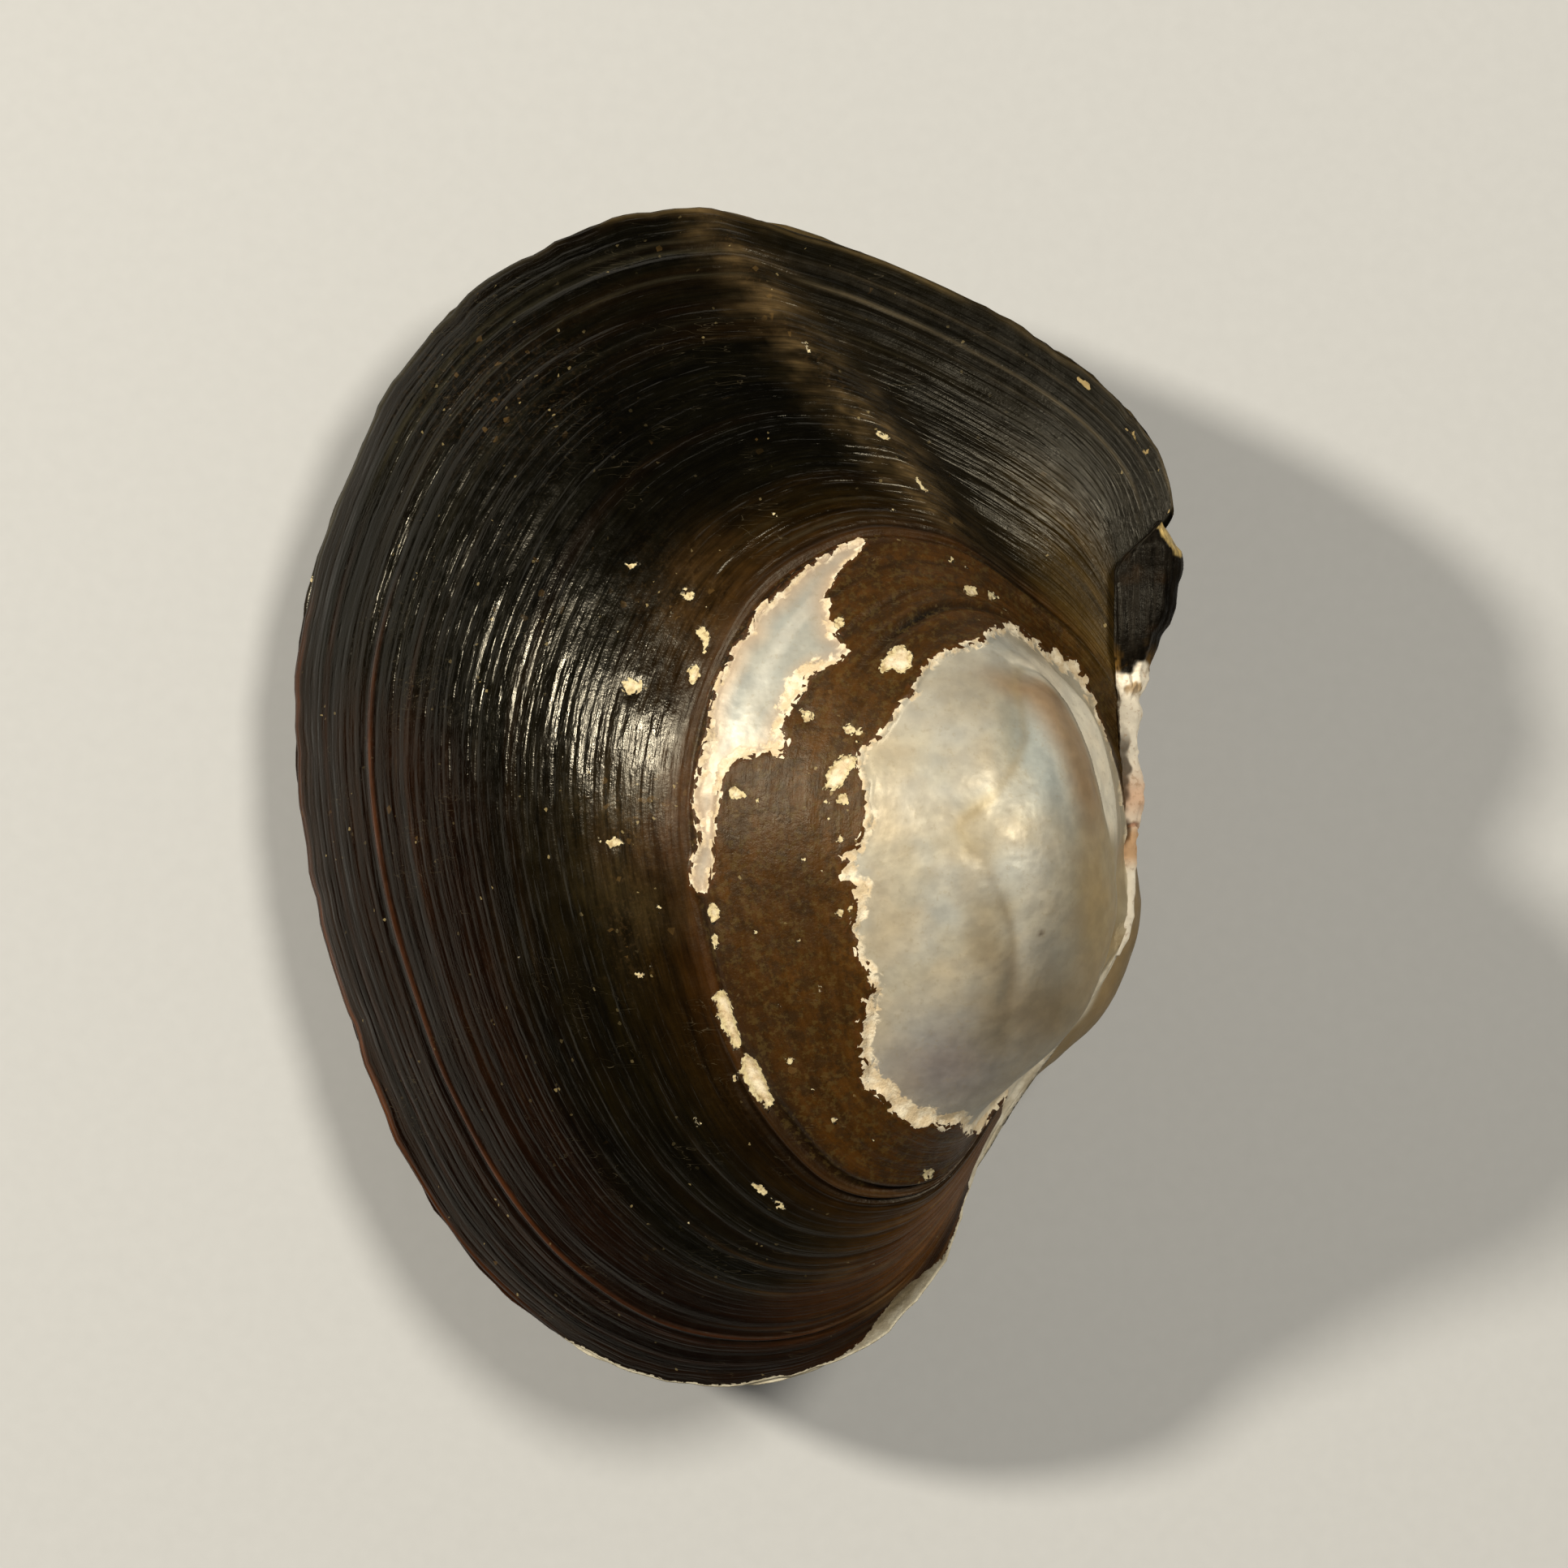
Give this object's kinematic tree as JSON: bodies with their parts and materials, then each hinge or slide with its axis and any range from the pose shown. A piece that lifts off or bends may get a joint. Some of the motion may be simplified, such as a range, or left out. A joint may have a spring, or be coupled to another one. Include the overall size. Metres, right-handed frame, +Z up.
{
  "type": "mussel shell",
  "caption": "Closed two-valve mussel shell with a dark glossy skin, a worn pearly umbo and a horny hinge ligament, lying on one valve.",
  "frame": {"origin": "centre of the bounding box, at its bottom, where the shell rests", "axes": "+Z up, +Y towards the shell's posterior end, +X towards the hinge, with the right valve on top"},
  "size_m": [0.0582, 0.0792, 0.0401],
  "materials": {
    "shell_valve": "glossy dark skin over pearly shell, worn through at the umbo",
    "ligament_horn": "dark dried horn, glossy in streaks"
  },
  "bodies": {
    "root": {"right_valve": "shell_valve", "left_valve": "shell_valve", "hinge_ligament": "ligament_horn"}
  },
  "joints": []
}
